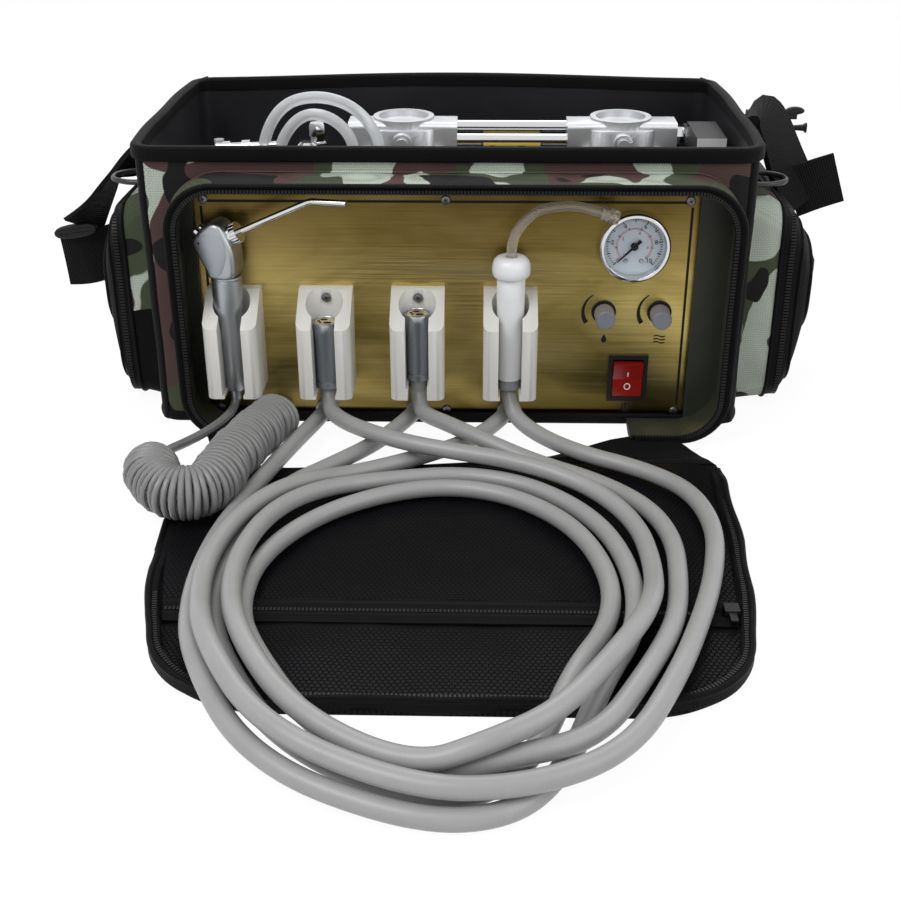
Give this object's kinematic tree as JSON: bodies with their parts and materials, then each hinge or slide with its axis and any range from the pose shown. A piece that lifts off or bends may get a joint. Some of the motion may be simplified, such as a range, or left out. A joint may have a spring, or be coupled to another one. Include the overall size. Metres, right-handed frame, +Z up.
{
  "type": "portable dental unit",
  "caption": "Soft camouflage bag holding a compressor, its front door open on a brass panel with handpiece holders, pressure gauge, knobs and switch, and long coiled hoses.",
  "frame": {"origin": "middle of the bag's base, on the floor", "axes": "+X to the user's right along the panel, -Y towards the user and the open door, +Z up"},
  "size_m": [0.554, 0.6077, 0.1885],
  "materials": {
    "camo_cloth": "woven, printed",
    "black_cloth": "matt",
    "mesh": "open net",
    "brass_sheet": "brushed",
    "steel": "satin",
    "chrome": "polished",
    "aluminium": "satin",
    "ivory_plastic": "satin",
    "white_plastic": "gloss",
    "black_plastic": "satin",
    "red_plastic": "gloss",
    "grey_plastic": "satin",
    "grey_hose": "matt",
    "clear_tube": "translucent",
    "silicone": "translucent",
    "black_rubber": "matt",
    "gold": "satin",
    "glass": "clear",
    "motor_paint": "painted",
    "cast_alloy": "as cast",
    "bottle": "translucent"
  },
  "bodies": {
    "unit": {"bag_shell": "camo_cloth", "bag_lining": "black_cloth", "rim_binding": "black_cloth", "front_gusset": "camo_cloth", "chassis": "steel", "front_panel": "brass_sheet", "panel_screws": "steel", "syringe_holder": "ivory_plastic", "handpiece_holder_1": "ivory_plastic", "handpiece_holder_2": "ivory_plastic", "suction_holder": "ivory_plastic", "syringe_body": "aluminium", "nozzle_nut": "chrome", "handpiece_connectors": "aluminium", "connector_seals": "gold", "suction_handle": "white_plastic", "suction_cap": "ivory_plastic", "ejector_tube": "clear_tube", "gauge_case": "chrome", "gauge_dial": "white_plastic", "gauge_lens": "glass", "needle_valves": "black_plastic", "switch_bezel": "black_plastic", "hose_glands": "aluminium", "handpiece_hose_1": "grey_hose", "handpiece_hose_2": "grey_hose", "suction_hose": "grey_hose", "syringe_coil": "grey_hose", "syringe_lead": "grey_hose", "left_side_pocket": "camo_cloth", "right_side_pocket": "camo_cloth", "left_strap": "black_cloth", "right_strap": "black_cloth", "strap_buckle": "black_plastic", "compressor_motor": "motor_paint", "compressor_cylinders": "aluminium", "compressor_heads": "cast_alloy", "crossover_tubes": "chrome", "rubber_mounts": "black_rubber", "pressure_switch": "black_plastic", "air_tank": "cast_alloy", "air_manifold": "chrome", "silicone_tubes": "silicone", "water_bottle": "bottle", "power_inlet": "black_plastic"},
    "front_door": {"front_door": "camo_cloth", "door_pocket": "mesh"},
    "zip_slider": {"zip_slider": "black_plastic"},
    "door_flap": {"door_flap": "camo_cloth"},
    "top_lid": {"top_lid": "camo_cloth"},
    "syringe_air_button": {"syringe_air_button": "chrome"},
    "syringe_water_button": {"syringe_water_button": "chrome"},
    "syringe_nozzle": {"syringe_nozzle": "chrome"},
    "gauge_needle": {"gauge_needle": "black_plastic"},
    "water_knob": {"water_knob": "grey_plastic"},
    "air_knob": {"air_knob": "grey_plastic"},
    "switch_rocker": {"switch_rocker": "red_plastic"},
    "left_d_ring": {"left_d_ring": "black_plastic"},
    "right_d_ring": {"right_d_ring": "black_plastic"},
    "cooling_fan": {"cooling_fan": "black_plastic"}
  },
  "joints": [
    {"name": "front_door_hinge", "type": "hinge", "parent": "unit", "child": "front_door", "pos_m": [0, -0.158, 0.002], "axis": [-1, 0, 0], "range_deg": [0, 90], "deforming": ["handpiece_hose_1", "handpiece_hose_2", "suction_hose", "syringe_coil", "syringe_lead"]},
    {"name": "flap_fold", "type": "hinge", "parent": "front_door", "child": "door_flap", "pos_m": [0, -0.3485, 0.011], "axis": [-1, 0, 0], "range_deg": [0, 90]},
    {"name": "lid_hinge", "type": "hinge", "parent": "unit", "child": "top_lid", "pos_m": [0, 0.1129, 0.1885], "axis": [1, 0, 0], "range_deg": [0, 270]},
    {"name": "pocket_zip", "type": "slide", "parent": "front_door", "child": "zip_slider", "axis": [-1, 0, 0], "range_m": [0, 0.29]},
    {"name": "air_button_slide", "type": "slide", "parent": "unit", "child": "syringe_air_button", "axis": [0.7825, -0.1663, -0.6], "range_m": [0, 0.0025], "stiffness_N_per_m": 600, "springref_m": -0.002},
    {"name": "water_button_slide", "type": "slide", "parent": "unit", "child": "syringe_water_button", "axis": [0.7825, -0.1663, -0.6], "range_m": [0, 0.0025], "stiffness_N_per_m": 600, "springref_m": -0.002},
    {"name": "nozzle_swivel", "type": "hinge", "parent": "unit", "child": "syringe_nozzle", "pos_m": [-0.13618, -0.1176, 0.13472], "axis": [0.8843, -0.188, 0.4274], "range_deg": [-50, 50]},
    {"name": "gauge_spindle", "type": "hinge", "parent": "unit", "child": "gauge_needle", "pos_m": [0.1195, -0.101, 0.125], "axis": [0, 1, 0], "range_deg": [0, 270]},
    {"name": "water_knob_turn", "type": "hinge", "parent": "unit", "child": "water_knob", "pos_m": [0.1025, -0.11, 0.08], "axis": [0, 1, 0], "range_deg": [-150, 150]},
    {"name": "air_knob_turn", "type": "hinge", "parent": "unit", "child": "air_knob", "pos_m": [0.1385, -0.11, 0.08], "axis": [0, 1, 0], "range_deg": [-150, 150]},
    {"name": "rocker_pivot", "type": "hinge", "parent": "unit", "child": "switch_rocker", "pos_m": [0.1205, -0.0991, 0.0335], "axis": [-1, 0, 0], "range_deg": [0, 18]},
    {"name": "left_ring_swing", "type": "hinge", "parent": "unit", "child": "left_d_ring", "pos_m": [-0.201, -0.045, 0.153], "axis": [0, 1, 0], "range_deg": [-14, 80]},
    {"name": "right_ring_swing", "type": "hinge", "parent": "unit", "child": "right_d_ring", "pos_m": [0.201, -0.045, 0.153], "axis": [0, -1, 0], "range_deg": [-14, 80]},
    {"name": "fan_spin", "type": "hinge", "parent": "unit", "child": "cooling_fan", "pos_m": [0.1575, 0.052, 0.0595], "axis": [1, 0, 0], "continuous": true}
  ]
}
